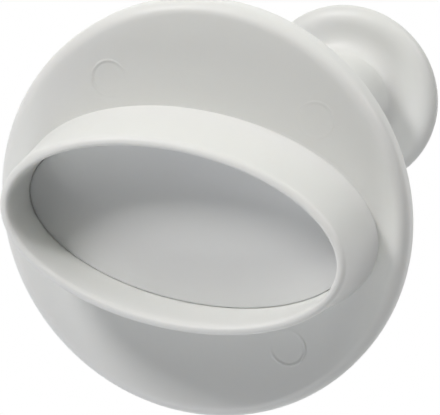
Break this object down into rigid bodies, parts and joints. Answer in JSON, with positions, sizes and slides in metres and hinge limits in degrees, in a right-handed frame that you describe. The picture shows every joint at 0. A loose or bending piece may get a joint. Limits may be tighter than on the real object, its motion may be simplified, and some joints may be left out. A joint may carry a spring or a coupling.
{
  "type": "plunger cutter",
  "caption": "Oval plunger cutter for sugar paste: a flanged oval cutting wall with a spring-returned ejector plate pushed by a flared thumb knob.",
  "frame": {"origin": "centre of the oval cutting edge, in the plane on which the cutter stands", "axes": "+Z along the plunger's axis from the cutting edge up to the knob, X along the oval's long axis"},
  "size_m": [0.06, 0.06, 0.0856],
  "materials": {
    "white_plastic": "satin, fine moulded grain",
    "plate_plastic": "satin, fine moulded grain",
    "spring_steel": "bright drawn wire"
  },
  "bodies": {
    "body": {"cutter_body": "white_plastic", "return_spring": "spring_steel"},
    "plunger": {"plunger_plate": "plate_plastic", "push_knob": "white_plastic"}
  },
  "joints": [
    {"name": "plunger_slide", "type": "slide", "parent": "body", "child": "plunger", "axis": [0, 0, -1], "range_m": [0, 0.0085], "stiffness_N_per_m": 250, "springref_m": -0.006, "deforming": ["return_spring"]}
  ]
}
